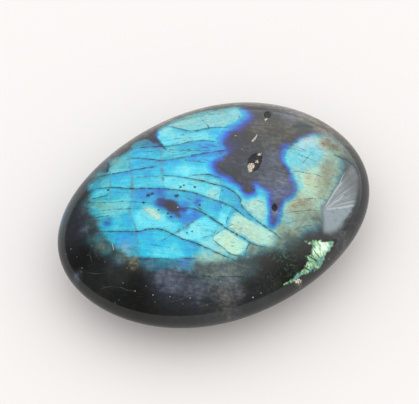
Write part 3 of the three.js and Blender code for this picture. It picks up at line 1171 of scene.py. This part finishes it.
def body_layer(graph, textures):
    """Colour of the dark stone."""
    coarse = graph.spread(textures.mottle, 0.88, 1.1)
    cloud = graph.ramp(textures.rock, 0.35, 0.65, 0.94, 1.06)
    fine = graph.ramp(graph.multiply(textures.rock, textures.streaks), 0.12, 0.4, 0.86, 1.13)
    shade = graph.field("lightness")
    for variation in (coarse, fine, cloud):
        shade = graph.multiply(shade, variation)
    warm = graph.add(graph.field("warmth"), graph.ramp(textures.rock, 0.35, 0.65, -0.25, 0.25))
    warm = graph.ramp(warm, -0.5, 0.5)
    colour = graph.mix(warm, graph.colours(shade, COOL_STOPS), graph.colours(shade, WARM_STOPS))
    flecks = graph.ramp(graph.noise(textures.place, 1.9, 4, 0.6), 0.5, 0.62, 0.0, 0.8)
    flecks = graph.multiply(flecks, graph.ramp(textures.mottle, 0.38, 0.56, 0.25, 1.0))
    flecks = graph.multiply(flecks, graph.field("moss"))
    return graph.mix(flecks, colour, MOSS_GREEN)


def feather_layer(graph, textures, chart, names, colour):
    """The grey fan near the end of the stone, with streaks that spread from one point."""
    gap = graph.vector_math("SUBTRACT", "Vector", textures.place, chart.spot(FEATHER_APEX))
    parts = graph.node("ShaderNodeSeparateXYZ", {0: gap})
    angle = graph.math("ARCTAN2", parts.outputs[1], parts.outputs[0])
    rays = graph.noise(graph.node("ShaderNodeCombineXYZ", {0: angle}).outputs[0], FEATHER_RAYS, 3)
    fan = graph.colours(rays, FEATHER_STOPS)
    pane = graph.multiply(graph.field("feather_pane"), graph.spread(textures.mottle, 0.6, 0.95))
    fan = graph.mix(pane, fan, FEATHER_PANE_GREY)
    length = graph.vector_math("LENGTH", "Value", gap)
    fan = graph.mix(graph.ramp(length, 6.0, 10.5, 0.0, 0.75), fan, FEATHER_END_GREY)
    colour = graph.mix(graph.multiply(graph.field("feather"), 0.85), colour, fan)
    streaks = graph.fade(nearest_crack(graph, names["pale"]), 0.2, 2.2, 0.6)
    return graph.mix(streaks, colour, STREAK_GREY)


def spark_layer(graph, textures, chart, names, colour):
    """The rough bright spark at the stone's edge, ribbed across its length."""
    torn = graph.add(graph.field("spark"), graph.ramp(textures.rock, 0.25, 0.75, -0.32, 0.32))
    tone = graph.noise(stretched(graph, textures.place, RIB_SIZE, SPARK_LEAN), 1.0, 3)
    for pixel, size, strength in SPARK_LOBES:
        gap = graph.distance(textures.place, chart.spot(pixel))
        tone = graph.add(tone, graph.fade(gap, 0.2, size, strength))
    seam = graph.fade(nearest_crack(graph, names["seam"]), 0.3, 2.4, 0.26)
    bright = graph.colours(graph.subtract(tone, seam), SPARK_STOPS)
    for pixel, size in SPARK_SHADOWS:
        gap = graph.distance(textures.place, chart.spot(pixel))
        bright = graph.mix(graph.fade(gap, 0.2, size, 0.75), bright, SPARK_BLUE)
    return graph.mix(graph.ramp(torn, 0.42, 0.74), colour, bright)


def crack_layers(graph, textures, names, colour):
    """The colour with hatching, veins, fine cracks and dark cracks, and the dark cracks' share."""
    for size, lean, strength in HATCHES:
        waves = graph.noise(stretched(graph, textures.place, size, lean), 1.0, 3)
        levels = graph.math("FRACT", graph.multiply(waves, HATCH_LEVELS))
        gap = graph.math("ABSOLUTE", graph.subtract(levels, 0.5))
        hatch = graph.multiply(graph.fade(gap, 0.02, 0.1, strength), graph.ramp(textures.worn, 0.5, 1.0))
        colour = graph.mix(hatch, colour, HATCH_TEAL)
    uneven = graph.spread(graph.noise(textures.place, 1.7, 3, 0.6), -1.3, 1.3)
    vein = graph.fade(graph.add(nearest_crack(graph, names["vein"]), uneven), 0.4, 2.4, 0.8)
    colour = graph.mix(graph.multiply(vein, textures.worn), colour, VEIN_GREY)
    fine = graph.fade(graph.add(nearest_crack(graph, names["fine"]), uneven), 0.5, 2.4, 0.85)
    colour = graph.mix(graph.multiply(fine, textures.worn), colour, FINE_CRACK_GREY)
    gap = graph.add(nearest_crack(graph, names["dark"]), graph.multiply(uneven, 0.7))
    colour = graph.mix(graph.fade(gap, 1.0, 6.0, 0.28), colour, CRACK_HALO_BLUE)
    dark = graph.multiply(graph.fade(gap, 0.35, 1.75, 0.94), graph.ramp(textures.worn, 0.2, 1.0, 0.6, 1.0))
    return graph.mix(dark, colour, CRACK_BLACK), dark


def speck_layers(graph, textures, chart, names, colour):
    """The colour with scratches, pits, crystals and specks, and how rough the pits are."""
    scratch = graph.fade(nearest_crack(graph, names["scratch"]), 0.3, 1.8, 0.24)
    colour = graph.mix(graph.multiply(scratch, textures.worn), colour, SCRATCH_GREY)
    ragged = graph.ramp(textures.grain, 0.25, 0.75, -0.3, 0.3)
    pit = graph.ramp(graph.add(graph.field("pit"), ragged), 0.35, 0.6, 0.0, 0.96)
    colour = graph.mix(pit, colour, PIT_BLACK)
    chip = graph.multiply(graph.field("chip"), graph.ramp(textures.rock, 0.4, 0.62, 0.1, 0.8))
    colour = graph.mix(chip, colour, CHIP_GREY)
    crystal = graph.ramp(graph.add(graph.field("crystal"), ragged), 0.4, 0.6)
    needle = graph.fade(nearest_crack(graph, names["needle"]), 0.5, 1.6, 0.9)
    pale = graph.math("MAXIMUM", needle, crystal)
    colour = graph.mix(pale, colour, graph.colours(textures.grain, CRYSTAL_STOPS))
    uneven = graph.spread(textures.grain, -0.35, 0.35)
    black = graph.add(nearest_speck(graph, textures.place, chart, BLACK_SPECKS), uneven)
    colour = graph.mix(graph.fade(black, 0.6, 1.4, 0.95), colour, SPECK_BLACK)
    white = nearest_speck(graph, textures.place, chart, WHITE_SPECKS)
    colour = graph.mix(graph.fade(white, 0.5, 1.5, 0.75), colour, SPECK_WHITE)
    return colour, graph.multiply(pit, graph.spread(textures.grain, 0.2, 1.0))


def labradorite_material(chart, names):
    """The polished stone: its coloured layers under a clear coat."""
    material = bpy.data.materials.new("labradorite")
    graph = Graph(material)
    textures = Textures(graph)
    flash, glow = flash_layer(graph, textures)
    colour = graph.mix(glow, body_layer(graph, textures), flash)
    colour = feather_layer(graph, textures, chart, names, colour)
    colour, groove = crack_layers(graph, textures, names, colour)
    colour = spark_layer(graph, textures, chart, names, colour)
    colour, hollow = speck_layers(graph, textures, chart, names, colour)
    depth = graph.add(graph.multiply(groove, GROOVE_SHARE), hollow)
    relief = {"Height": depth, "Distance": HOLLOW_DEPTH, "Strength": RELIEF_STRENGTH}
    normal = graph.node("ShaderNodeBump", relief, invert=True).outputs[0]
    shader = graph.node("ShaderNodeBsdfPrincipled", {
        "Base Color": colour,
        "Roughness": graph.spread(textures.mottle, 0.25, 0.4),
        "IOR": 1.55,
        "Specular IOR Level": 0.0,
        "Coat Weight": 0.68,
        "Coat Roughness": 0.08,
        "Coat IOR": 1.55,
        "Normal": normal,
        "Coat Normal": normal,
    })
    graph.node("ShaderNodeOutputMaterial", {"Surface": shader.outputs[0]})
    return material


# Floor and light

FLOOR_REACH = 3.0


def add_floor():
    """A plain pale floor, with a faint warm glow for the light that it throws back."""
    corners = [(-1, -1), (1, -1), (1, 1), (-1, 1)]
    mesh = bpy.data.meshes.new("floor")
    mesh.from_pydata([(x * FLOOR_REACH, y * FLOOR_REACH, 0) for x, y in corners], [], [(0, 1, 2, 3)])
    floor = bpy.data.objects.new("floor", mesh)
    bpy.context.scene.collection.objects.link(floor)
    material = bpy.data.materials.new("pale_floor")
    graph = Graph(material)
    shader = graph.node("ShaderNodeBsdfPrincipled", {
        "Base Color": (0.775, 0.772, 0.768, 1),
        "Roughness": 0.9,
        "Specular IOR Level": 0.1,
        "Emission Color": (1, 0.6, 0.34, 1),
        "Emission Strength": 0.05,
    })
    graph.node("ShaderNodeOutputMaterial", {"Surface": shader.outputs[0]})
    mesh.materials.append(material)


# The light is a soft dome, a little brighter overhead. What the polish mirrors is a dark room
# with one broad pale wall behind the stone on the right, and a faint haze low down there.
DOME = {"left": -90, "elevation": 84, "edge": (0.1, 1.0), "low": 0.84, "high": 1.38}
MIRRORED_ROOM = {"left": -32, "elevation": 36, "edge": (0.2, 0.95), "low": 0.16, "high": 1.85}
HAZE = {"left": -40, "elevation": 5, "edge": (0.0, 0.9), "low": 0.05, "high": 0.65}
HAZE_HEIGHT = 0.12


def soft_lobe(graph, direction, left, elevation, edge, low, high):
    """Brightness that rises smoothly towards one side, in degrees from the photograph's view."""
    turn = CAMERA_AZIMUTH + math.radians(left) + math.pi
    level = math.cos(math.radians(elevation))
    side = (math.sin(turn) * level, -math.cos(turn) * level, math.sin(math.radians(elevation)))
    return graph.ramp(graph.vector_math("DOT_PRODUCT", "Value", direction, side), *edge, low, high)


def add_light():
    """The dome for light, and the darker room for what the polish mirrors."""
    world = bpy.data.worlds.new("studio")
    graph = Graph(world)
    direction = graph.node("ShaderNodeTexCoord").outputs["Generated"]
    mirrored = graph.node("ShaderNodeLightPath").outputs["Is Glossy Ray"]
    height = graph.node("ShaderNodeSeparateXYZ", {0: direction}).outputs["Z"]
    haze = graph.multiply(graph.fade(height, 0.0, HAZE_HEIGHT, 1.0), soft_lobe(graph, direction, **HAZE))
    strength = graph.node("ShaderNodeMix", {
        "Factor": mirrored,
        "A": soft_lobe(graph, direction, **DOME),
        "B": graph.add(soft_lobe(graph, direction, **MIRRORED_ROOM), haze),
    }).outputs["Result"]
    sky = graph.node("ShaderNodeBackground", {"Color": (1, 1, 1, 1), "Strength": strength})
    graph.node("ShaderNodeOutputWorld", {"Surface": sky.outputs[0]})
    bpy.context.scene.world = world
    bpy.context.scene.view_settings.view_transform = "Standard"


camera = add_camera()
stone, stone_vertices = add_stone()
noise.seed_set(NOISE_SEED)
chart = Chart(camera, stone, stone_vertices)
crack_names, pit_share = paint_stone(chart, stone.data)
sink_pits(stone.data, pit_share)
stone.data.materials.append(labradorite_material(chart, crack_names))
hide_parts("palm_stone")
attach(stone, "root")
add_floor()
add_light()
